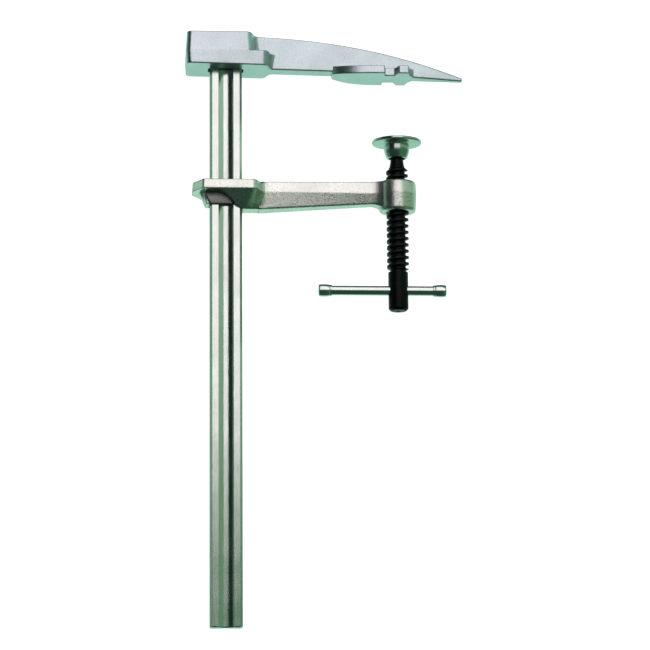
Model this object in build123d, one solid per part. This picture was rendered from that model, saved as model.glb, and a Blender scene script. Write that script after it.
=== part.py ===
from build123d import *

import os
from math import cos, radians, sin, sqrt, tan

# Rafter clamp, lying on its side. The bar runs along Y, with the fixed arm at its +Y end.
# Both arms reach out along +X, and +Z points up through the thickness of the bar.
# The origin is on the contact face of the fixed arm, on the axis of the screw.
# Every size is in millimetres and every angle in degrees.

# Bar: drawn flat steel with a shallow round groove along each broad face
throat = 145.0
bar_width = 30.0
bar_thickness = 15.0
bar_corner = 2.2
groove_width = 13.9
groove_depth = 3.0
bar_below_jaw = 516.0
bar_end_chamfer = 1.0
bar_top_recess = 0.8

# Fixed arm: head, the parting line of its dies, and the necks down to the blade
head_half_width = 24.5
head_wall_behind = 22.6
head_wall_upper = 4.0
head_wall_lower = 18.0
head_top = 38.5
head_parting = 19.9
head_underside = 7.4
head_corner = 5.0
head_edge_round = 1.0
head_draft = 3.0
neck_run = 14.5
socket_side_fit = 0.1
socket_end_gap = 1.4
socket_round = 3.5

# Fixed arm: blade that bows down to the point
blade_half = 8.7
blade_half_at_foot = 6.8
blade_half_at_tip = 3.0
blade_start = 22.1
blade_top = 37.1
blade_bow = 7.3
blade_edge_round = 1.2
point_reach = 62.3
point_height = 3.0
point_drop = 2.2

# Fixed arm: pressing foot under the blade, with a notch on each side
foot_thickness = 7.7
foot_half_width = 21.5
foot_back = 60.3
foot_back_straight = 17.5
foot_oval_reach = 46.0
foot_back_round = 3.0
foot_flat_back = 28.0
foot_sweep = 280.0
foot_edge_round = 0.8
foot_heel = 8.0
foot_underside_step = 4.3
notch_half = 12.2
notch_mouth_start = -12.0
notch_floor_start = -11.4
notch_floor_end = -2.2
lug_start = 1.5
lug_end = 10.2
lug_base_end = 12.0
foot_front = 15.0
foot_lap = 2.0

# Sliding arm: sleeve round the bar
jaw_gap = 60.0
sleeve_below_pad = 43.2
sleeve_half_width = 24.5
sleeve_wall_behind = 16.4
sleeve_nose_half = 7.0
sleeve_shoulder = 7.0
sleeve_wall_front = 8.0
sleeve_upper_height = 8.8
sleeve_upper_draft = 3.0
sleeve_lower_height = 16.5
sleeve_edge_round = 1.4
sleeve_nose_round = 5.0
under_nose_behind = 9.5
under_nose_half = 4.0
under_nose_back = 4.6
under_nose_back_half = 9.0
sleeve_toe_half = 8.6
sleeve_toe_behind = 2.4
sleeve_heel_cut = 4.5
sleeve_heel_reach = 7.0
slot_fit = 0.35
pocket_drop = 0.6
pocket_corner_from_bar = 12.0
pocket_round = 14.0
pocket_floor = 9.6

# Sliding arm: beam, tapered from the sleeve to the boss
root_run = 15.0
beam_top_drop = 1.1
beam_top_rise = 1.4
beam_depth_root = 26.2
beam_depth_boss = 21.2
beam_half_root = 10.5
beam_half_boss = 8.0
beam_facet_upper = 0.9
beam_facet_lower = 1.6
beam_edge_round = 1.4

# Sliding arm: threaded boss
boss_radius = 17.9
boss_above_parting = 12.3
boss_below_parting = 17.0
boss_draft = 3.0
boss_rim_round = 3.2
boss_neck_reach = 12.0
boss_neck_depth = 0.7
boss_neck_sink = 0.6
boss_neck_lean = 1.0

# Screw: ball end, neck, rolled trapezoidal thread and plain shank
ball_radius = 7.8
pad_web = 1.6
ball_seat_gap = 0.2
neck_radius = 5.7
neck_length = 9.6
flare_length = 7.5
thread_radius = 10.25
thread_root = 7.3
thread_pitch = 6.0
thread_crest = 2.1
thread_flank = 15.0
thread_length = 92.0
thread_lead = 3.0
thread_sink = 0.3
thread_fit = 0.35
undercut_length = 1.6
shank_radius = 9.2
shank_length = 36.7
shank_chamfer = 2.0
shank_top_round = 1.2

# Swivel pad and the split ring that keeps the ball in its cup
pad_radius = 22.9
pad_thickness = 3.0
pad_rim_round = 1.3
pad_fillet = 3.2
cup_wall = 2.2
cup_mouth_radius = 7.2
cup_mouth_flare = 8.0
cup_depth_below_ball = 7.6
cup_outside_angle = 32.0
cup_inside_angle = 26.0
ring_inner_gap = 0.15
ring_outer_gap = 0.15
ring_wall = 1.1
ring_above_centre = 0.8
ring_below_centre = 4.6
ring_split = 1.5

# Cross handle: rod and the two caps pressed on its ends
rod_radius = 4.5
rod_hole_fit = 0.2
rod_below_shoulder = 17.6
rod_left = 74.2
rod_right = 44.5
knob_length = 12.3
knob_radius = 6.0
knob_end_radius = 5.0
knob_collar_radius = 5.3
knob_collar_length = 1.4
knob_groove = 0.3
knob_cap = 1.6
knob_corner = 1.2
knob_fit = 0.03

# How far a shape that only cuts or trims reaches past the piece
margin = 1.0

# Places that several pieces share
bar_x = -(throat + bar_width / 2)
bar_outer = bar_x - bar_width / 2
bar_inner = bar_x + bar_width / 2
blade_x = bar_inner + blade_start
head_left = bar_outer - head_wall_behind
pad_face = -jaw_gap
ball_y = pad_face - pad_web - ball_seat_gap - ball_radius
cup_inner = ball_radius + ring_inner_gap + ring_wall + ring_outer_gap
cup_lip = ball_y - cup_depth_below_ball
sleeve_top = pad_face - sleeve_below_pad
sleeve_parting = sleeve_top - sleeve_upper_height
thread_start = ball_y - sqrt(ball_radius**2 - neck_radius**2) - neck_length - flare_length
thread_end = thread_start - thread_length
shoulder = thread_end - undercut_length
shank_end = shoulder - shank_length
rod_y = shoulder - rod_below_shoulder
sleeve_front = bar_inner + sleeve_wall_front
root_x = sleeve_front + root_run
pocket_corner_x = bar_outer + pocket_corner_from_bar


def mirrored(points):
    """Closes an outline given on its upper side, from left to right, by its mirror image below."""
    return [(x, -y) for x, y in points] + points[::-1]


def face_up(shape, y):
    """Turns a shape built on the ground plane so that its height runs along +Y from y."""
    return Pos(0, y, 0) * Rot(-90, 0, 0) * shape


def face_down(shape, y):
    """Turns a shape built on the ground plane so that its height runs along -Y from y."""
    return Pos(0, y, 0) * Rot(90, 0, 0) * shape


def corners(outline, *places):
    """The corners of an outline that lie on the given places."""
    return [v for v in outline.vertices() if any(abs(v.X - x) + abs(v.Y - y) < 0.01 for x, y in places)]


def turned(profile):
    """Turns a half profile, drawn to the right of the screw's axis, round that axis."""
    return revolve(profile, Axis.Y)


def bar_outline():
    """The bar's section: a rectangle with broken corners and a round groove in each broad side."""
    outline = Rectangle(bar_width, bar_thickness)
    outline = chamfer(outline.vertices(), bar_corner)
    groove_radius = (groove_width**2 / 4 + groove_depth**2) / (2 * groove_depth)
    groove_centre = bar_thickness / 2 + groove_radius - groove_depth
    for side in (1, -1):
        outline -= Pos(0, side * groove_centre) * Circle(groove_radius)
    return outline


def make_bar():
    """The bar, from its free end up through the head, just short of the head's top."""
    length = bar_below_jaw + head_top - bar_top_recess
    bar = face_up(Pos(bar_x, 0) * extrude(bar_outline(), length), -bar_below_jaw)
    ends = bar.faces().sort_by(Axis.Y)
    return chamfer(ends[0].edges() + ends[-1].edges(), bar_end_chamfer)


def s_curve(x_wide, half_wide, x_narrow, half_narrow):
    """The plan curve of a neck: it leaves the wide part and meets the narrow part along the arm."""
    return Spline((x_wide, half_wide), (x_narrow, half_narrow), tangents=[(1, 0), (1, 0)])


def head_plan(front_wall, lean):
    """The head seen along the bar, drawn in by the lean of its walls, with its neck to the blade."""
    half = head_half_width - lean
    shoulder_x = bar_inner + front_wall - lean
    neck_x = shoulder_x + neck_run
    left = head_left + lean
    block = Polyline((shoulder_x, -half), (left, -half), (left, half), (shoulder_x, half))
    upper = s_curve(shoulder_x, half, neck_x, blade_half - lean)
    end = Line((neck_x, blade_half - lean), (neck_x, lean - blade_half))
    lower = s_curve(shoulder_x, -half, neck_x, lean - blade_half)
    outline = make_face(block + upper + end + lower)
    return fillet(corners(outline, (left, half), (left, -half)), head_corner)


def head_half(front_wall, height):
    """One half of the head: its walls lean in from the parting line by the dies' draft."""
    lean = height * tan(radians(head_draft))
    return loft([head_plan(front_wall, 0), Pos(0, 0, height) * head_plan(front_wall, lean)])


def arm_side():
    """The fixed arm seen from the front: flat head, bowed blade, point and sloping underside."""
    point_top = point_height - point_drop
    edge = Polyline(
        (point_reach, -point_drop),
        (foot_front, 0),
        (foot_heel - foot_back, foot_underside_step),
        (head_left - margin, head_underside),
        (head_left - margin, head_top),
        (bar_inner + head_wall_upper, head_top),
        (blade_x, blade_top),
    )
    bow = SagittaArc((blade_x, blade_top), (point_reach, point_top), blade_bow)
    outline = make_face(edge + bow + Line((point_reach, point_top), (point_reach, -point_drop)))
    return extrude(outline, head_half_width + margin, both=True)


def head_block():
    """Both halves of the head, cut to the side view, with the edges that the dies leave round."""
    upper = face_up(head_half(head_wall_upper, head_top - head_parting + margin), head_parting)
    lower = face_down(head_half(head_wall_lower, head_parting), head_parting)
    block = (upper + lower) & arm_side()
    faces = block.faces().sort_by(Axis.Y)
    return fillet(faces[0].edges() + faces[-1].edges(), head_edge_round)


def blade_plan():
    """The blade seen along the bar: parallel to the foot, then drawn in by a gentle curve to the point."""
    slope = (blade_half_at_foot - blade_half_at_tip) / (point_reach - foot_front)
    sides = []
    for side in (1, -1):
        start, middle, end = [(x, side * z) for x, z in (
            (-foot_back, blade_half), (foot_front, blade_half_at_foot), (point_reach, blade_half_at_tip))]
        curve = Spline(start, middle, end, tangents=[(1, 0), (1, -side * slope)])
        sides.append(Line((bar_inner, side * blade_half), start) + curve)
    back = Line((bar_inner, -blade_half), (bar_inner, blade_half))
    return make_face(sides[0] + Line((point_reach, blade_half_at_tip), (point_reach, -blade_half_at_tip))
                     + sides[1] + back)


def blade():
    """The blade, cut to its side view, with its long edges and its tip rounded."""
    body = face_up(extrude(blade_plan(), 2 * head_top), -head_top / 2) & arm_side()
    outer = body.edges().filter_by(lambda e: e.center().X > bar_inner + margin)
    seams = outer.filter_by(Axis.Y).filter_by(lambda e: e.center().X < foot_front)
    over_foot = outer.filter_by(lambda e: -foot_back < e.center().X < foot_front)
    hidden = over_foot.filter_by(lambda e: e.center().Y < foot_thickness)
    return fillet(outer - seams - hidden, blade_edge_round)


def foot_plan():
    """The pressing foot seen along the bar: a blunt half oval, then a notch and a lug on each side."""
    oval = Pos(-foot_back_straight, 0) * Ellipse(foot_oval_reach, foot_half_width)
    oval &= Pos(-foot_back_straight - foot_back / 2, 0) * Rectangle(foot_back, 2 * foot_half_width)
    oval -= Pos(-foot_back - foot_oval_reach, 0) * Rectangle(2 * foot_oval_reach, 2 * foot_half_width)
    oval = fillet(oval.vertices().group_by(Axis.X)[0], foot_back_round)
    body = Polygon(*mirrored([
        (-foot_back_straight, foot_half_width),
        (notch_mouth_start, foot_half_width),
        (notch_floor_start, notch_half),
        (notch_floor_end, notch_half),
        (lug_start, foot_half_width),
        (lug_end, foot_half_width),
        (lug_base_end, notch_half),
        (foot_front + foot_lap, blade_half_at_foot - foot_lap),
    ]), align=None)
    return oval + body


def foot_side():
    """The foot seen from the front: flat under the jaw, and swept up a little towards the head."""
    start = -foot_flat_back
    end = -foot_back - margin
    rise = foot_sweep - sqrt(foot_sweep**2 - (end - start)**2)
    lower = TangentArc((start, 0), (end, rise), tangent=(-1, 0))
    upper = TangentArc((start, foot_thickness), (end, rise + foot_thickness), tangent=(-1, 0))
    front_x = foot_front + 2 * foot_lap
    front = Polyline((start, 0), (front_x, 0), (front_x, foot_thickness), (start, foot_thickness))
    outline = make_face(front + lower + Line((end, rise), (end, rise + foot_thickness)) + upper)
    return extrude(outline, foot_half_width + margin, both=True)


def foot():
    """The pressing foot: its plan cut to its side view, with the edges rounded."""
    plate = face_up(extrude(foot_plan(), 2 * foot_thickness), -foot_thickness / 2) & foot_side()
    return fillet(plate.edges(), foot_edge_round)


def make_fixed_arm():
    """The drop-forged arm: head, blade and foot in one piece, with the bar's socket through the head."""
    arm = head_block() + blade() + foot()
    socket = Pos(bar_x, 0) * RectangleRounded(
        bar_width + 2 * socket_end_gap, bar_thickness + 2 * socket_side_fit, socket_round
    )
    return arm - face_up(extrude(socket, 2 * head_top), -head_top / 2)


def sleeve_plan(nose, half, beam_half):
    """The sleeve seen along the bar: its nose from side to middle, and two S curves in to the beam."""
    nose = [(bar_outer - behind, width) for behind, width in nose]
    ring = Polyline((sleeve_front, half), *nose, *[(x, -z) for x, z in reversed(nose)], (sleeve_front, -half))
    lower = s_curve(sleeve_front, -half, root_x, -beam_half)
    end = Line((root_x, -beam_half), (root_x, beam_half))
    upper = s_curve(sleeve_front, half, root_x, beam_half)
    return make_face(ring + lower + end + upper)


def sleeve_side():
    """The sleeve seen from the front: flat top, and an underside that is cut up behind the heel."""
    low = beam_top(root_x) - beam_depth_root
    left = bar_outer - 2 * sleeve_wall_behind
    outline = Polygon(
        (left, sleeve_top),
        (left, low + sleeve_heel_cut),
        (bar_inner - sleeve_heel_reach, low + sleeve_heel_cut),
        (bar_inner, low),
        (root_x, low),
        (root_x, beam_top(root_x)),
        (sleeve_front, sleeve_top),
        align=None,
    )
    return extrude(outline, 2 * sleeve_half_width, both=True)


def sleeve_rim():
    """The shallow upper part of the sleeve, drafted in from the parting line, with a rounded top edge."""
    lean = sleeve_upper_height * tan(radians(sleeve_upper_draft))
    layers = []
    for inset in (0, lean):
        half = sleeve_half_width - inset
        nose = [(sleeve_shoulder - inset, half), (sleeve_wall_behind - inset, sleeve_nose_half)]
        plan = sleeve_plan(nose, half, beam_half_root - inset)
        tip = bar_outer - sleeve_wall_behind + inset
        plan = fillet(corners(plan, (tip, sleeve_nose_half), (tip, -sleeve_nose_half)), sleeve_nose_round)
        side = bar_outer - sleeve_shoulder + inset
        layers.append(fillet(corners(plan, (side, half), (side, -half)), sleeve_nose_round / 2))
    body = loft([layers[0], Pos(0, 0, sleeve_upper_height) * layers[1]])
    top = body.faces().sort_by(Axis.Z)[-1]
    edges = top.edges().filter_by(lambda e: e.center().X < root_x - margin)
    return fillet(edges, sleeve_edge_round)


def sleeve_flank():
    """The deep lower part of the sleeve: it starts further in behind the bar and narrows to the toe."""
    back = [(under_nose_back, sleeve_half_width), (under_nose_back, under_nose_back_half)]
    wide = sleeve_plan(back + [(under_nose_behind, under_nose_half)], sleeve_half_width, beam_half_root)
    end = [(sleeve_toe_behind, width) for width in (sleeve_toe_half, under_nose_half, under_nose_half / 2)]
    toe = sleeve_plan(end, sleeve_toe_half, beam_half_root - beam_facet_lower)
    return loft([wide, Pos(0, 0, sleeve_lower_height) * toe])


def sleeve():
    """The sleeve: rim and flanks, cut to the side view and by the pocket in each flank."""
    body = face_up(sleeve_rim(), sleeve_parting) + face_down(sleeve_flank(), sleeve_parting)
    return (body & sleeve_side()) - relief_pockets()


def relief_pockets():
    """A half-moon pocket in each lower flank, down to a flat floor beside the bar."""
    top = sleeve_parting - pocket_drop
    low = sleeve_parting - 2 * sleeve_lower_height
    behind_x = bar_outer - 2 * sleeve_wall_behind
    outline = Polygon(
        (behind_x, top),
        (behind_x, low),
        (pocket_corner_x + (top - low), low),
        (pocket_corner_x, top),
        align=None,
    )
    outline = fillet(corners(outline, (pocket_corner_x, top)), pocket_round)
    cut = Pos(0, 0, pocket_floor) * extrude(outline, sleeve_half_width)
    return cut + mirror(cut, Plane.XY)


def beam_top(x):
    """Height of the beam's top edge, which rises slightly from the sleeve to the boss."""
    return sleeve_top + beam_top_drop + beam_top_rise * (x - root_x) / (-boss_radius - root_x)


def beam_section(x):
    """The beam's six-sided section: widest at the parting line, drafted to the top and bottom."""
    along = (x - root_x) / (-boss_radius - root_x)
    half = beam_half_root + (beam_half_boss - beam_half_root) * along
    top = beam_top(x)
    bottom = top - beam_depth_root - (beam_depth_boss - beam_depth_root) * along
    return six_sided(x, top, bottom, half - beam_facet_upper, half, half - beam_facet_lower)


def six_sided(x, top, bottom, top_half, half, bottom_half):
    """A six-sided face across the arm at x, with its top and bottom corners rounded."""
    across = Plane(origin=(x, 0, 0), x_dir=(0, 1, 0), z_dir=(1, 0, 0))
    outline = Polygon(
        (bottom, -bottom_half), (sleeve_parting, -half), (top, -top_half),
        (top, top_half), (sleeve_parting, half), (bottom, bottom_half), align=None
    )
    ends = corners(outline, (bottom, -bottom_half), (top, -top_half), (top, top_half), (bottom, bottom_half))
    return across * fillet(ends, beam_edge_round)


def beam():
    """The straight tapered beam, from inside the sleeve's root to the start of the boss's neck."""
    start = sleeve_front + root_run / 2
    end = -boss_radius - boss_neck_reach / 2
    return loft([beam_section(start), beam_section(end)], ruled=True)


def boss_neck():
    """The flare that carries the beam into the boss, wider and deeper towards it."""
    start = beam_section(-boss_radius - boss_neck_reach)
    middle = beam_section(-boss_radius - boss_neck_reach / 2)
    inner_x = -boss_radius * boss_neck_depth
    swell = sqrt(boss_radius**2 - inner_x**2) - boss_neck_sink
    end = six_sided(inner_x, sleeve_parting + boss_above_parting - boss_neck_sink,
                    sleeve_parting - boss_below_parting + boss_rim_round / 2,
                    swell - boss_neck_lean, swell, swell - boss_neck_lean)
    return loft([start, middle, end])


def boss():
    """The boss: two drafted half cylinders from the parting line, with rounded rims."""
    upper = extrude(Circle(boss_radius), boss_above_parting, taper=boss_draft)
    lower = extrude(Circle(boss_radius), boss_below_parting, taper=boss_draft)
    upper = fillet(upper.faces().sort_by(Axis.Z)[-1].edges(), boss_rim_round)
    lower = fillet(lower.faces().sort_by(Axis.Z)[-1].edges(), boss_rim_round)
    return face_up(upper, sleeve_parting) + face_down(lower, sleeve_parting)


def make_sliding_arm():
    """The cast arm: sleeve, beam and boss in one piece, with the bar's slot and the screw's bore."""
    arm = sleeve() + beam() + boss_neck() + boss()
    slot = Pos(bar_x, 0) * RectangleRounded(
        bar_width + 2 * slot_fit, bar_thickness + 2 * slot_fit, bar_corner / 2
    )
    through = 4 * sleeve_lower_height
    arm -= face_up(extrude(slot, through), sleeve_parting - through / 2)
    bore = extrude(Circle(thread_radius + thread_fit), through)
    return arm - face_up(bore, sleeve_parting - through / 2)


def thread_ridge():
    """One right-hand trapezoidal ridge wound round the core, trimmed by a lead-in at each end."""
    rise = thread_radius - thread_root + thread_sink
    base = thread_crest / 2 + rise * tan(radians(thread_flank))
    inner = thread_root - thread_sink
    across = Plane(origin=(inner, 0, 0), x_dir=(1, 0, 0), z_dir=(0, -1, 0))
    section = across * Polygon(
        (0, -base), (rise, -thread_crest / 2), (rise, thread_crest / 2), (0, base), align=None
    )
    path = Helix(thread_pitch, thread_length + 2 * thread_pitch, inner)
    ridge = face_down(sweep(section, path, is_frenet=True), thread_start + thread_pitch)
    lead = turned(Polygon(
        (0, thread_start),
        (0, thread_end),
        (thread_root, thread_end),
        (thread_radius + margin, thread_end + thread_lead / 2),
        (thread_radius + margin, thread_start - thread_lead),
        (thread_root, thread_start),
        align=None,
    ))
    return ridge & lead


def spindle_core():
    """The turned screw without its thread: ball, neck, concave flare, core and plain shank."""
    neck_y = ball_y - sqrt(ball_radius**2 - neck_radius**2)
    flare_y = neck_y - neck_length
    flare_depth = (thread_root - neck_radius) / 4
    ball = ThreePointArc((0, ball_y + ball_radius), (ball_radius, ball_y), (neck_radius, neck_y))
    neck = Line((neck_radius, neck_y), (neck_radius, flare_y))
    flare_middle = ((neck_radius + thread_root) / 2 - flare_depth, (flare_y + thread_start) / 2)
    flare = ThreePointArc((neck_radius, flare_y), flare_middle, (thread_root, thread_start))
    rest = Polyline((thread_root, thread_start), (thread_root, shoulder), (shank_radius, shoulder),
                    (shank_radius, shank_end), (0, shank_end), (0, ball_y + ball_radius))
    outline = make_face(ball + neck + flare + rest)
    outline = fillet(corners(outline, (shank_radius, shoulder)), shank_top_round)
    outline = chamfer(corners(outline, (shank_radius, shank_end)), shank_chamfer)
    return turned(outline)


def make_spindle():
    """The screw: ball, neck, thread, plain shank and the cross hole for the handle."""
    hole = Pos(0, rod_y, 0) * Rot(0, 90, 0) * Cylinder(rod_radius + rod_hole_fit, 3 * shank_radius)
    return spindle_core() + thread_ridge() - hole


def cup_point(radius, angle):
    """A point of the cup's half profile, at an angle below the ball's middle as seen from its centre."""
    return (radius * cos(radians(angle)), ball_y - radius * sin(radians(angle)))


def make_pressure_pad():
    """The swivel pad: a flat disc with a cup behind it whose lip is turned in round the ball."""
    cup_outer = cup_inner + cup_wall
    seat_y = pad_face - pad_web
    back_y = pad_face - pad_thickness
    lip_outer = sqrt(cup_outer**2 - cup_depth_below_ball**2)
    mouth_y = ball_y - sqrt(cup_inner**2 - cup_mouth_radius**2)
    outside_middle = cup_point(cup_outer, cup_outside_angle)
    inside_middle = cup_point(cup_inner, cup_inside_angle)
    outside = ThreePointArc((cup_outer, ball_y), outside_middle, (lip_outer, cup_lip))
    inside = ThreePointArc((cup_mouth_radius, mouth_y), inside_middle, (cup_inner, ball_y))
    disc = Polyline((cup_inner, ball_y), (cup_inner, seat_y), (0, seat_y), (0, pad_face),
                    (pad_radius, pad_face), (pad_radius, back_y), (cup_outer, back_y), (cup_outer, ball_y))
    lip = Polyline((lip_outer, cup_lip), (cup_mouth_flare, cup_lip), (cup_mouth_radius, mouth_y))
    outline = make_face(disc + outside + lip + inside)
    outline = fillet(corners(outline, (pad_radius, pad_face), (pad_radius, back_y)), pad_rim_round)
    outline = fillet(corners(outline, (cup_outer, back_y)), pad_fillet)
    return turned(outline)


def sphere_point(radius, rise):
    """A point of the half profile at a radius from the ball's centre and a height over it."""
    return (sqrt(radius**2 - rise**2), ball_y + rise)


def make_retaining_ring():
    """The split ring between the ball and the cup: a zone of a thin hollow sphere."""
    inner = ball_radius + ring_inner_gap
    outer = inner + ring_wall
    middle = (ring_above_centre - ring_below_centre) / 2
    outline = make_face(
        ThreePointArc(*[sphere_point(inner, y) for y in (ring_above_centre, middle, -ring_below_centre)])
        + Line(sphere_point(inner, -ring_below_centre), sphere_point(outer, -ring_below_centre))
        + ThreePointArc(*[sphere_point(outer, y) for y in (-ring_below_centre, middle, ring_above_centre)])
        + Line(sphere_point(outer, ring_above_centre), sphere_point(inner, ring_above_centre))
    )
    split = Pos(outer, ball_y, 0) * Box(outer, 4 * ring_below_centre, ring_split)
    return turned(outline) - split


def make_tommy_bar():
    """The handle's rod, which stops inside both caps."""
    length = rod_left + rod_right - 2 * knob_cap
    centre = (rod_right - rod_left) / 2
    return Pos(centre, rod_y, 0) * Rot(0, 90, 0) * Cylinder(rod_radius, length)


def make_knob(end_x, side):
    """A pressed cap on one end of the rod: thin collar, barrel body and a closed end."""
    bore = rod_radius + knob_fit
    collar_end = knob_length - knob_collar_length
    waist = knob_collar_radius - knob_groove
    body = make_face(
        Polyline((0, knob_cap), (0, 0), (knob_end_radius, 0))
        + ThreePointArc((knob_end_radius, 0), (knob_radius, collar_end / 2), (waist, collar_end))
        + Polyline((waist, collar_end), (knob_collar_radius, collar_end), (knob_collar_radius, knob_length),
                   (bore, knob_length), (bore, knob_cap), (0, knob_cap))
    )
    body = fillet(corners(body, (knob_end_radius, 0)), knob_corner)
    return Pos(end_x, rod_y, 0) * Rot(0, 0, side * 90) * turned(body)


def main():
    """Writes each piece to its own file."""
    pieces = {
        "bar": make_bar(),
        "fixed_arm": make_fixed_arm(),
        "sliding_arm": make_sliding_arm(),
        "spindle": make_spindle(),
        "pressure_pad": make_pressure_pad(),
        "pad_retaining_ring": make_retaining_ring(),
        "tommy_bar": make_tommy_bar(),
        "tommy_bar_knob_left": make_knob(-rod_left, -1),
        "tommy_bar_knob_right": make_knob(rod_right, 1),
    }
    os.makedirs("parts", exist_ok=True)
    for name, piece in pieces.items():
        export_step(piece, f"parts/{name}.step")


if __name__ == "__main__":
    main()
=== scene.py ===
from math import radians

import bmesh
import bpy
import numpy as np
from mathutils import Matrix, Vector


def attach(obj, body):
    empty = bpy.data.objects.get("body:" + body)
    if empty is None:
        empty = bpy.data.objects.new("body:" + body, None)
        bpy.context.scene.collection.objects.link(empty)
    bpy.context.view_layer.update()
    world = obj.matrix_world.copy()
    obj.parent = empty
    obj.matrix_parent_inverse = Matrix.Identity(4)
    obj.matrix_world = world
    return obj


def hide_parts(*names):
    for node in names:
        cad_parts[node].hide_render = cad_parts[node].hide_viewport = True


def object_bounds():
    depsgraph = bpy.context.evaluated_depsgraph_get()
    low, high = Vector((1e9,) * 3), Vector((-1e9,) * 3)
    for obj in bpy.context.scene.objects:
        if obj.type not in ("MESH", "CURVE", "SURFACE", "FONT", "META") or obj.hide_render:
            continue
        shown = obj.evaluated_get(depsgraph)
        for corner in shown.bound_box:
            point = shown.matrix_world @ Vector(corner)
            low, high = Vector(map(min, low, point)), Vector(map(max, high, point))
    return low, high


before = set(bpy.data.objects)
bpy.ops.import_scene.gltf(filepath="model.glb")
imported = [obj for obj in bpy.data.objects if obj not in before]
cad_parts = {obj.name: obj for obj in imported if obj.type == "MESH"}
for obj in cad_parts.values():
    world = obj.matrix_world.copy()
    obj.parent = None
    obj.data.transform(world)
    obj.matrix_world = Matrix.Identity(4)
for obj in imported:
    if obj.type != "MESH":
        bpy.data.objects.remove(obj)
cad_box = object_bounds()


# Bar: a length of cold-drawn flat steel with a shallow round groove along each broad face.
# It is zinc plated after drawing, so it is bright, with faint lines and a soft bloom along it.
# The fixed arm is shrunk on its upper end, and the sliding arm runs along the rest.

def linear(hex_colour):
    """An sRGB hex colour as linear red, green, blue and alpha."""
    srgb = [int(hex_colour[i:i + 2], 16) / 255 for i in (1, 3, 5)]
    return [c / 12.92 if c <= 0.04045 else ((c + 0.055) / 1.055) ** 2.4 for c in srgb] + [1.0]


def add(tree, kind, inputs, **settings):
    """Adds a node with its settings, and gives each named input a value or a link."""
    node = tree.nodes.new(kind)
    for name, value in settings.items():
        setattr(node, name, value)
    for key, value in inputs.items():
        if isinstance(value, bpy.types.NodeSocket):
            tree.links.new(value, node.inputs[key])
        else:
            node.inputs[key].default_value = value
    return node


def new_material(name):
    """An empty node material, and its tree."""
    material = bpy.data.materials.new(name)
    material.use_nodes = True
    material.node_tree.nodes.clear()
    return material, material.node_tree


def object_place(tree):
    """The point's place in the object's own coordinates, in metres."""
    return add(tree, "ShaderNodeTexCoord", {}).outputs["Object"]


def noise(tree, place, size_mm, detail, roughness=0.5):
    """Noise whose pattern has this size in millimetres. Its scale counts cells a metre."""
    return add(tree, "ShaderNodeTexNoise", {
        "Vector": place, "Scale": 1000 / size_mm, "Detail": detail, "Roughness": roughness}).outputs["Fac"]


def ramp(tree, value, start, end, low, high):
    """A node that goes from low to high as the value goes from start to end."""
    return add(tree, "ShaderNodeMapRange", {
        "Value": value, "From Min": start, "From Max": end, "To Min": low, "To Max": high})


def calc(tree, operation, *values):
    """The result of one operation on numbers or sockets."""
    return add(tree, "ShaderNodeMath", dict(enumerate(values)), operation=operation).outputs["Value"]


def mixed(tree, factor, first, second):
    """The colour that lies between the first and the second by a factor."""
    return add(tree, "ShaderNodeMix", {"Factor": factor, "A": first, "B": second},
               data_type="RGBA").outputs["Result"]


def dimmed(tree, colour, factor):
    """A colour times a factor."""
    return add(tree, "ShaderNodeVectorMath", {0: colour, "Scale": factor},
               operation="SCALE").outputs["Vector"]


def zinc_plated_steel(name, pale, shaded, roughness, grain_mm, grain_depth_mm,
                      draw_mm=(1, 1, 1), edge_mm=0.8, pit_shade_tone=0.95, painted_edge_shade=0.22):
    """Zinc plated steel: bright metal with a fine grain whose pits are painted darker, painted shade in the
    hollows, cloudy patches of thicker and thinner plating 30 mm across, and edges painted darker, a painted
    shade line on top of the dark end of the room that the rounding mirrors. draw_mm stretches the grain.
    A blasted or drawn skin has a real grain of 0.2 to 0.5 mm, which is too fine to show at one pixel a
    millimetre, so each caller draws it as coarse as it needs to show."""
    cloud_mm = 30.0
    cloud_low, cloud_high = 0.3, 0.7
    smoother, rougher = 0.04, 0.06
    pit_noise, skin_noise = 0.35, 0.51
    skin_tone = 1.03
    flat_cosine, rounded_cosine = 0.99, 0.85
    material, tree = new_material(name)
    place = object_place(tree)
    along = add(tree, "ShaderNodeMapping", {"Vector": place, "Scale": [1 / d for d in draw_mm]})
    grain = noise(tree, along.outputs["Vector"], grain_mm, 3.0, 0.55)
    cloud = noise(tree, place, cloud_mm, 3.0, 0.6)
    soft = add(tree, "ShaderNodeBevel", {"Radius": edge_mm / 1000}, samples=6).outputs["Normal"]
    face = add(tree, "ShaderNodeNewGeometry", {}).outputs["Normal"]
    turn = add(tree, "ShaderNodeVectorMath", {0: soft, 1: face}, operation="DOT_PRODUCT").outputs["Value"]
    edge = ramp(tree, turn, flat_cosine, rounded_cosine, 0.0, 1.0).outputs["Result"]
    # The grain's low values are painted darker: painted shade in the pits.
    pit_shade = ramp(tree, grain, pit_noise, skin_noise, pit_shade_tone, skin_tone)
    # The rounded edges are painted darker in the colour: a painted shade line along each edge.
    line = calc(tree, "MULTIPLY_ADD", edge, painted_edge_shade - 1, 1.0)
    shade_tone = calc(tree, "MULTIPLY", pit_shade.outputs["Result"], line)
    colour = dimmed(tree, mixed(tree, cloud, linear(pale), linear(shaded)), shade_tone)
    gloss = ramp(tree, cloud, cloud_low, cloud_high, roughness - smoother, roughness + rougher)
    bump = add(tree, "ShaderNodeBump", {
        "Height": grain, "Distance": grain_depth_mm / 1000, "Strength": 1.0, "Normal": soft})
    shader = add(tree, "ShaderNodeBsdfPrincipled", {
        "Base Color": colour, "Metallic": 1.0, "Roughness": gloss.outputs["Result"],
        "Normal": bump.outputs["Normal"]})
    add(tree, "ShaderNodeOutputMaterial", {"Surface": shader.outputs["BSDF"]})
    return material, shader, colour, pit_shade


def dress(node, material):
    """Gives a CAD piece its finish in place of the plain one that it came with."""
    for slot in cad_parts[node].material_slots:
        slot.material = material


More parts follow.
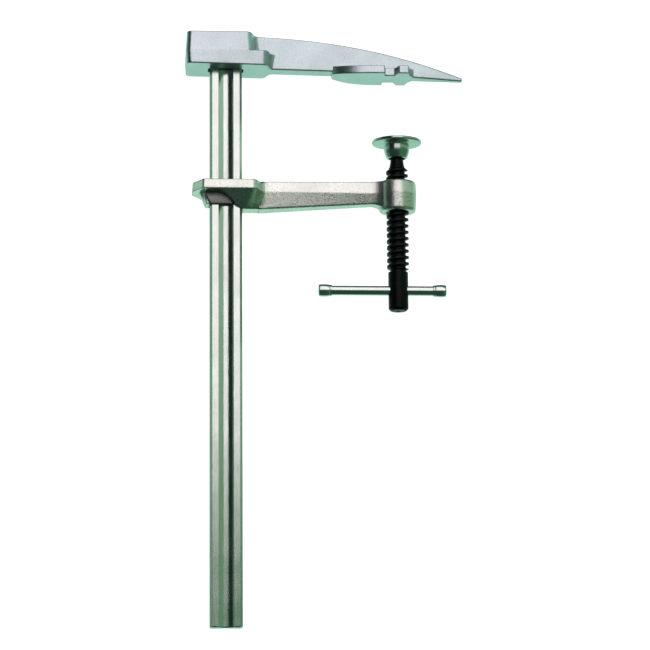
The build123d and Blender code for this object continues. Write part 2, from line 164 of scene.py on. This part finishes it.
drawn_zinc, *_ = zinc_plated_steel(
    "zinc_plated_drawn_steel", pale="#E5E3E0", shaded="#D9D8D3", roughness=0.18,
    grain_mm=0.7, grain_depth_mm=0.06, draw_mm=(1, 20, 1), edge_mm=0.5, painted_edge_shade=0.7)
dress("bar", drawn_zinc)


# Fixed arm: one drop forging in carbon steel, with a parting line half way up its drafted head.
# It is shot blasted to clear the scale and then zinc plated, which leaves an even satin grain.

forged_zinc, *_ = zinc_plated_steel(
    "zinc_plated_forging", pale="#CED2DC", shaded="#C6CBD0", roughness=0.30,
    grain_mm=1.4, grain_depth_mm=0.07, edge_mm=1.5, pit_shade_tone=0.89)
dress("fixed_arm", forged_zinc)


# Sliding arm: malleable cast iron, cast in sand, so its skin is coarser than the forging's.
# It is blasted and zinc plated, and its boss is bored and tapped for the screw.

parting_y_mm = -112.0
parting_blur_mm = 0.5
# The pits are painted darker below the parting line than above it: stronger painted shade in the pits there.
pit_shade_below, pit_shade_above = 0.62, 0.87
# The pocket floors are painted darker towards the bottom: painted shade in the recesses.
pocket_floor_mm = 9.6
pocket_slack_mm = 0.4
pocket_top_y_mm = -112.6
pocket_low_y_mm = -125.0
pocket_end_x_mm = -150.0
pocket_shade_low, pocket_shade_top = 0.10, 0.45


def cast_skin(tree, shader, colour, pit_shade):
    """Pits painted darker below the parting line than above it, stronger painted shade in the pits there,
    and painted shade on the floors of the two pockets: a factor that falls from top to bottom where
    abs(z) is the floor's height and x is behind the bar."""
    place = add(tree, "ShaderNodeSeparateXYZ", {"Vector": object_place(tree)})
    x, y, z = (place.outputs[axis] for axis in "XYZ")
    parting_y, blur = parting_y_mm / 1000, parting_blur_mm / 1000
    pits = ramp(tree, y, parting_y - blur, parting_y + blur, pit_shade_below, pit_shade_above)
    tree.links.new(pits.outputs["Result"], pit_shade.inputs["To Min"])
    level = calc(tree, "COMPARE", calc(tree, "ABSOLUTE", z), pocket_floor_mm / 1000, pocket_slack_mm / 1000)
    behind = calc(tree, "LESS_THAN", x, pocket_end_x_mm / 1000)
    floor = calc(tree, "MULTIPLY", level, behind)
    # Painted shade on the pocket floors, darker towards the bottom.
    shade_tone = ramp(tree, y, pocket_low_y_mm / 1000, pocket_top_y_mm / 1000, pocket_shade_low, pocket_shade_top)
    factor = add(tree, "ShaderNodeMix", {"Factor": floor, "A": 1.0, "B": shade_tone.outputs["Result"]})
    tree.links.new(dimmed(tree, colour, factor.outputs["Result"]), shader.inputs["Base Color"])


cast_zinc, cast_shader, cast_colour, cast_pit_shade = zinc_plated_steel(
    "zinc_plated_malleable_iron", pale="#F0E8E6", shaded="#DFDAD4", roughness=0.28,
    grain_mm=1.6, grain_depth_mm=0.13, edge_mm=1.8)
cast_skin(cast_zinc.node_tree, cast_shader, cast_colour, cast_pit_shade)
dress("sliding_arm", cast_zinc)


# Screw: carbon steel, with a coarse trapezoidal thread rolled on it and a ball turned on its upper end.
# It is blackened in hot oxide salts and oiled, so it is almost black, with a low sheen on the crests.

ball_mm = 7.8
ball_y_mm = -69.6
neck_mm = 5.7
neck_end_y_mm = -77.2
flare_end_y_mm = -86.0
flare_turn_y_mm = flare_end_y_mm + 2.0
flare_turn_mm = neck_mm + 0.9
root_mm = 7.3
crest_mm = 10.25
pitch_mm = 6.0
crest_width_mm = 2.1
flank_mm = 0.8
flank_blend_mm = 0.3
top_fade, low_fade = 1.1, 2.0
thread_end_y_mm = -184.0
shank_mm = 9.2
shank_top_y_mm = -185.6
shank_end_y_mm = -222.3
shank_chamfer_mm = 2.0
centre_hole_mm = 2.4
centre_hole_depth_mm = 1.6
rod_y_mm = -203.2
rod_hole_mm = 4.7
mouth_margin_mm = 4.0
around = 96


def merged(name, points, faces, sharp_degrees=40):
    """A closed mesh object from points and faces: doubled points are joined, faces turned outwards."""
    join_m, sliver_m = 2e-6, 1e-6
    mesh = bpy.data.meshes.new(name)
    mesh.from_pydata(points.reshape(-1, 3) / 1000, [], faces)
    shell = bmesh.new()
    shell.from_mesh(mesh)
    bmesh.ops.remove_doubles(shell, verts=shell.verts, dist=join_m)
    bmesh.ops.dissolve_degenerate(shell, dist=sliver_m, edges=shell.edges)
    bmesh.ops.recalc_face_normals(shell, faces=shell.faces)
    shell.to_mesh(mesh)
    shell.free()
    mesh.shade_smooth()
    mesh.set_sharp_from_angle(angle=radians(sharp_degrees))
    piece = bpy.data.objects.new(name, mesh)
    bpy.context.scene.collection.objects.link(piece)
    return piece


def cells_of(rows, columns, start=0):
    """The four corners of each cell of a grid of points, counted row by row from start."""
    corner = start + (np.arange(rows - 1)[:, None] * columns + np.arange(columns - 1)).ravel()
    return np.stack([corner, corner + 1, corner + columns + 1, corner + columns], 1).tolist()


def round_y(along, radius, angle):
    """Points round the Y axis: (radius sin angle, along, radius cos angle), row by row."""
    along, radius, angle = np.broadcast_arrays(along, radius, angle)
    return np.stack([radius * np.sin(angle), along, radius * np.cos(angle)], -1)


def rounded(points, radii, steps=7):
    """A profile whose corners give way to parabolas, (1-t)^2 a + 2t(1-t) corner + t^2 b,
    where a and b lie on the two sides at the given distance from the corner."""
    points = np.asarray(points, float)
    t = np.linspace(0, 1, steps)[:, None]
    parts = [points[:1]]
    for before, corner, after, size in zip(points, points[1:], points[2:], radii):
        a = corner + size * (before - corner) / np.linalg.norm(before - corner)
        b = corner + size * (after - corner) / np.linalg.norm(after - corner)
        parts.append((1 - t) ** 2 * a + 2 * t * (1 - t) * corner + t ** 2 * b)
    return np.concatenate(parts + [points[-1:]])


def thread_grid():
    """The thread as rows that run along the helix, y = top - s + pitch angle/turn, cut level at both
    ends. Its radius is the root plus the ridge's height, which falls from crest to root as a
    smooth step across each flank and fades in a cone at both ends. The rows of half a pitch, from
    the middle of a root to the middle of the crest, lie closest on the flank."""
    half_pitch = np.array([0, 0.8, 1.3, 1.6, 1.8, 2.0, 2.2, 2.45, 3.0])
    across = np.concatenate([half_pitch, pitch_mm - half_pitch[-2:0:-1]]) / pitch_mm
    turns = (flare_end_y_mm - thread_end_y_mm) / pitch_mm
    s = (np.arange(int(np.ceil(turns)) + 2)[:, None] + across).ravel() * pitch_mm
    angle = np.linspace(0, 2 * np.pi, around + 1)
    y = flare_end_y_mm - s[:, None] + pitch_mm * angle / (2 * np.pi)
    y = y.clip(thread_end_y_mm, flare_end_y_mm)
    off_crest = np.abs((s / pitch_mm) % 1.0 - 0.5) * pitch_mm
    flank_end = crest_width_mm / 2 + flank_mm + flank_blend_mm / 2
    t = ((flank_end - off_crest) / (flank_mm + flank_blend_mm)).clip(0, 1)
    ridge = (crest_mm - root_mm) * t * t * (3 - 2 * t)
    room = np.minimum((flare_end_y_mm - y) * top_fade, (y - thread_end_y_mm) * low_fade).clip(0)
    return round_y(y, root_mm + np.minimum(ridge[:, None], room), angle)


def mouth_grid(side):
    """The half of the shank round one mouth of the cross hole: rays from the hole's rim to the
    edge of a rectangle that covers a half turn, laid on the cylinder."""
    end_steps, ray_points, crowding = 12, 9, 1.4
    half = rod_hole_mm + mouth_margin_mm
    steps = around // 2
    edge_u = np.linspace(-np.pi / 2, np.pi / 2, steps + 1)
    edge_v = np.linspace(-half, half, end_steps + 1)
    u = np.concatenate([edge_u, np.full(end_steps - 1, np.pi / 2), edge_u[::-1],
                        np.full(end_steps, -np.pi / 2)])
    v = np.concatenate([np.full(steps + 1, -half), edge_v[1:-1], np.full(steps + 1, half), edge_v[::-1][1:]])
    turn = np.arctan2(v, u * shank_mm)
    rim_z = rod_hole_mm * np.cos(turn)
    rim_u, rim_v = np.arcsin(rim_z / shank_mm), rod_hole_mm * np.sin(turn)
    t = np.linspace(0, 1, ray_points)[:, None] ** crowding
    angle = side * np.pi / 2 + rim_u + (u - rim_u) * t
    return round_y(rod_y_mm + rim_v + (v - rim_v) * t, shank_mm, angle)


def black_oxide():
    """Black oxide on steel: near black, a dark oily sheen, bare steel just showing on the crests that
    rub in the boss, and a dry greyer bloom in patches 5 mm across. The real grain is finer than
    0.1 mm, which can't show, so it is drawn at 0.6 mm."""
    bloom_mm, grain_mm, grain_depth_mm, rub_mm = 5.0, 0.6, 0.04, 0.5
    cloud_low, cloud_high, oily, dry = 0.3, 0.7, 0.32, 0.48
    material, tree = new_material("black_oxide_steel")
    place = object_place(tree)
    cloud = noise(tree, place, bloom_mm, 5.0, 0.6)
    parts = add(tree, "ShaderNodeSeparateXYZ", {"Vector": place})
    flat = add(tree, "ShaderNodeCombineXYZ", {"X": parts.outputs["X"], "Z": parts.outputs["Z"]})
    reach = add(tree, "ShaderNodeVectorMath", {0: flat.outputs["Vector"]}, operation="LENGTH")
    crest = ramp(tree, reach.outputs["Value"], (crest_mm - rub_mm) / 1000, crest_mm / 1000, 0.0, 1.0)
    worn = calc(tree, "MULTIPLY", crest.outputs["Result"], cloud)
    bloom = mixed(tree, cloud, linear("#060709"), linear("#0C0D10"))
    gloss = ramp(tree, cloud, cloud_low, cloud_high, oily, dry)
    bump = add(tree, "ShaderNodeBump", {
        "Height": noise(tree, place, grain_mm, 2.0), "Distance": grain_depth_mm / 1000, "Strength": 1.0})
    shader = add(tree, "ShaderNodeBsdfPrincipled", {
        "Base Color": mixed(tree, worn, bloom, linear("#2A2C30")), "Metallic": 0.4,
        "Roughness": gloss.outputs["Result"], "Normal": bump.outputs["Normal"], "Specular IOR Level": 0.22})
    add(tree, "ShaderNodeOutputMaterial", {"Surface": shader.outputs["BSDF"]})
    return material


full_turn = np.linspace(0, 2 * np.pi, around + 1)
ball_turn = np.linspace(0, np.pi - np.arcsin(neck_mm / ball_mm), 26)
ball_part = np.stack([ball_y_mm + ball_mm * np.cos(ball_turn), ball_mm * np.sin(ball_turn)], 1)
neck_part = rounded([ball_part[-1], (neck_end_y_mm, neck_mm), (flare_turn_y_mm, flare_turn_mm),
                     (flare_end_y_mm, root_mm)], (2.0, 1.2))
top_profile = np.concatenate([ball_part, neck_part[1:]])
upper_profile = rounded([(thread_end_y_mm, root_mm), (shank_top_y_mm, root_mm), (shank_top_y_mm, shank_mm),
                         (rod_y_mm + rod_hole_mm + mouth_margin_mm, shank_mm)], (0.4, 0.9))
lower_profile = rounded([(rod_y_mm - rod_hole_mm - mouth_margin_mm, shank_mm),
                         (shank_end_y_mm + shank_chamfer_mm, shank_mm),
                         (shank_end_y_mm, shank_mm - shank_chamfer_mm), (shank_end_y_mm, centre_hole_mm),
                         (shank_end_y_mm + centre_hole_depth_mm, 0.0)], (0.8, 0.6, 0.4))
tops = [round_y(p[:, :1], p[:, 1:], full_turn) for p in (top_profile, upper_profile, lower_profile)]
mouths = [mouth_grid(side) for side in (1, -1)]
tunnel = np.stack([mouths[0][0] * (1 - 2 * t, 1, 1) for t in np.linspace(0, 1, 5)])
grids = tops + [thread_grid()] + mouths + [tunnel]
faces, count = [], 0
for grid in grids:
    faces += cells_of(grid.shape[0], grid.shape[1], count)
    count += grid.shape[0] * grid.shape[1]
screw = merged("screw", np.concatenate([g.reshape(-1, 3) for g in grids]), faces)
screw.data.materials.append(black_oxide())
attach(screw, "spindle")
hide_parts("spindle")


# Swivel pad: pressed from steel plate and bright zinc plated, with a cup that is rolled in round the ball.
# A split ring of spring steel keeps the ball in the cup, out of sight. It is bare, and its colour is
# the grey of the polished wire.

pad_mm = 23.2
pad_face_y_mm = -60.0
pad_back_y_mm = -63.0
pad_back_slope_mm = 0.1
seat_y_mm = -61.6
cup_inner_mm = 9.2
cup_outer_mm = 11.9
cup_inner_turn_y_mm = ball_y_mm - 0.8
cup_outer_turn_y_mm = ball_y_mm - 1.0
lip_y_mm = -77.2
lip_inner_mm = 7.8
lip_outer_mm = 9.4
lip_slope_mm = 0.5
mouth_mm = 7.4
mouth_y_mm = -75.3

pad_profile = rounded([
    (seat_y_mm, 0), (seat_y_mm, cup_inner_mm), (cup_inner_turn_y_mm, cup_inner_mm), (mouth_y_mm, mouth_mm),
    (lip_y_mm, lip_inner_mm), (lip_y_mm + lip_slope_mm, lip_outer_mm), (cup_outer_turn_y_mm, cup_outer_mm),
    (pad_back_y_mm - 2 * pad_back_slope_mm, cup_outer_mm), (pad_back_y_mm - pad_back_slope_mm, pad_mm),
    (pad_face_y_mm, pad_mm), (pad_face_y_mm, 0)],
    (0.5, 2.4, 0.6, 0.4, 0.5, 3.5, 2.2, 1.4, 1.2), steps=9)
pad_grid = round_y(pad_profile[:, :1], pad_profile[:, 1:], np.linspace(0, 2 * np.pi, 145))
pad = merged("swivel_pad", pad_grid, cells_of(*pad_grid.shape[:2]))
dull_zinc, *_ = zinc_plated_steel(
    "pressed_zinc_plate", pale="#C3CDC8", shaded="#B4C0BA", roughness=0.20, grain_mm=0.8, grain_depth_mm=0.01)
pad.data.materials.append(dull_zinc)
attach(pad, "pressure_pad")
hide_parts("pressure_pad")

ring_steel, *_ = zinc_plated_steel(
    "spring_steel", pale="#A9ACAE", shaded="#8C8F92", roughness=0.30, grain_mm=0.5, grain_depth_mm=0.01)
dress("pad_retaining_ring", ring_steel)


# Cross handle: a round steel rod that slides in the screw's cross hole, with a cap pressed on each end
# to keep it there. Rod and caps are bright zinc plated.

rod_mm = 4.5
rod_left_x_mm = -74.2
rod_right_x_mm = 44.5
cap_wall_mm = 1.6
cap_length_mm = 12.3
cap_bore_mm = 4.53
cap_skirt_mm = 5.3
cap_groove_mm = 5.15
cap_shoulder_mm = 5.5
cap_bulge_mm = 6.0
cap_end_mm = 5.4


def round_rod(along, radius, angle):
    """Points round the rod's axis: (along, rod height + radius sin angle, radius cos angle)."""
    along, radius, angle = np.broadcast_arrays(along, radius, angle)
    return np.stack([along, rod_y_mm + radius * np.sin(angle), radius * np.cos(angle)], -1)


rod_turn = np.linspace(0, 2 * np.pi, 81)
rod_ends = (rod_left_x_mm + cap_wall_mm, rod_right_x_mm - cap_wall_mm)
rod_profile = np.array([(rod_ends[0], 0), (rod_ends[0], rod_mm), (rod_ends[1], rod_mm), (rod_ends[1], 0)])
rod_grid = round_rod(rod_profile[:, :1], rod_profile[:, 1:], rod_turn)
rod = merged("handle_rod", rod_grid, cells_of(*rod_grid.shape[:2]))
bright_zinc, *_ = zinc_plated_steel(
    "bright_zinc_plate", pale="#E6E8E4", shaded="#D8DBD6", roughness=0.16, grain_mm=0.8, grain_depth_mm=0.01)
rod.data.materials.append(bright_zinc)
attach(rod, "tommy_bar")
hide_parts("tommy_bar")

cap_profile = rounded([
    (cap_wall_mm, 0), (cap_wall_mm, cap_bore_mm), (cap_length_mm, cap_bore_mm), (cap_length_mm, cap_skirt_mm),
    (10.9, cap_skirt_mm), (10.6, cap_groove_mm), (9.8, cap_shoulder_mm), (4.5, cap_bulge_mm),
    (0, cap_end_mm), (0, 0)], (0.1, 0.1, 0.3, 0.3, 0.1, 0.4, 3.0, 1.2), steps=8)
for node, end_x, inward in (("tommy_bar_knob_left", rod_left_x_mm, 1),
                            ("tommy_bar_knob_right", rod_right_x_mm, -1)):
    cap_grid = round_rod(end_x + inward * cap_profile[:, :1], cap_profile[:, 1:], rod_turn)
    cap = merged(node + "_cap", cap_grid, cells_of(*cap_grid.shape[:2]))
    cap.data.materials.append(bright_zinc)
    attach(cap, "tommy_bar")
    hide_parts(node)


# The clamp lies on a pale table under one wide soft light, which reaches from just behind the arms
# to the far wall. The room is grey green and dark towards the camera, so the bright metal, which
# mirrors it, goes dark on its sides, in its grooves and along its lower edges.

table_half = 4
table_glow = 0.95
floor_z = cad_box[0][2] - 0.0002
corners = [(x * table_half, y * table_half, floor_z) for x, y in ((-1, -1), (1, -1), (1, 1), (-1, 1))]
floor_mesh = bpy.data.meshes.new("table")
floor_mesh.from_pydata(corners, [], [(0, 1, 2, 3)])
floor = bpy.data.objects.new("table", floor_mesh)
bpy.context.scene.collection.objects.link(floor)
floor.visible_glossy = False
white, tree = new_material("white_table")
shader = add(tree, "ShaderNodeBsdfPrincipled", {
    "Base Color": (0.8, 0.8, 0.8, 1), "Roughness": 0.9, "Specular IOR Level": 0.0,
    "Emission Color": (1, 1, 1, 1), "Emission Strength": table_glow})
add(tree, "ShaderNodeOutputMaterial", {"Surface": shader.outputs["BSDF"]})
floor_mesh.materials.append(white)

world = bpy.data.worlds.new("room")
bpy.context.scene.world = world
world.use_nodes = True
tree = world.node_tree
tree.nodes.clear()
where = add(tree, "ShaderNodeTexCoord", {})
side = add(tree, "ShaderNodeSeparateXYZ", {"Vector": where.outputs["Generated"]})
x, y, z = (side.outputs[axis] for axis in "XYZ")


def between(value, start, end, first, second):
    """A colour that goes smoothly from the first to the second as the value goes from start to end."""
    part = add(tree, "ShaderNodeMapRange", {"Value": value, "From Min": start, "From Max": end},
               interpolation_type="SMOOTHSTEP")
    return mixed(tree, part.outputs["Result"], first, second)


left_wall = between(z, 0.06, 0.33, linear("#84AE99"), linear("#142B23"))
overhead = between(x, -0.45, -0.1, left_wall, linear("#64876C"))
far_wall = between(y, 0.75, 1.0, overhead, linear("#6F827B"))
near_wall = between(y, 0.15, -0.12, far_wall, linear("#2C443C"))
right_wall = between(y, 0.06, 0.3, linear("#4E7C58"), linear("#A8CFB9"))
walls = between(x, 0.1, 0.6, near_wall, right_wall)
low_room = between(z, -0.25, -0.7, walls, linear("#B9EDD5"))
far_floor = between(z, 0.25, 0.0, low_room, linear("#3A4643"))
room = between(y, 0.3, 0.6, low_room, far_floor)
ray = add(tree, "ShaderNodeLightPath", {})
seen = mixed(tree, ray.outputs["Is Camera Ray"], room, (1, 1, 1, 1))
glow = add(tree, "ShaderNodeBackground", {"Color": seen, "Strength": 1.0})
add(tree, "ShaderNodeOutputWorld", {"Surface": glow.outputs["Background"]})


def soft_light(name, place, aim, width, depth, watts, colour):
    """A rectangular soft light at a place, turned towards a point."""
    lamp = bpy.data.lights.new(name, "AREA")
    lamp.shape = "RECTANGLE"
    lamp.size, lamp.size_y, lamp.energy, lamp.color = width, depth, watts, colour
    light = bpy.data.objects.new(name, lamp)
    light.location = place
    light.rotation_euler = (Vector(aim) - Vector(place)).to_track_quat("-Z", "Y").to_euler()
    light.visible_camera = False
    bpy.context.scene.collection.objects.link(light)


soft_light("overhead_softbox", place=(0.0, 4.5, 2.7), aim=(0.0, 4.5, 0), width=2.5, depth=8.95,
           watts=75, colour=(1.0, 0.93, 0.99))

eye, target = Vector((-0.2603, -0.803, 2.829)), Vector((-0.0684, -0.2358, 0.0))
lens_mm, sensor_mm, roll_degrees, far_m = 173.4, 36, -0.42, 20
lens = bpy.data.cameras.new("camera")
lens.sensor_width, lens.lens, lens.clip_end = sensor_mm, lens_mm, far_m
camera = bpy.data.objects.new("camera", lens)
back = (eye - target).normalized()
right = Vector((0, 1, 0)).cross(back).normalized()
turn = Matrix((right, back.cross(right), back)).transposed() @ Matrix.Rotation(radians(roll_degrees), 3, "Z")
camera.matrix_world = Matrix.Translation(eye) @ turn.to_4x4()
bpy.context.scene.collection.objects.link(camera)
bpy.context.scene.camera = camera
bpy.context.scene.view_settings.view_transform = "Standard"
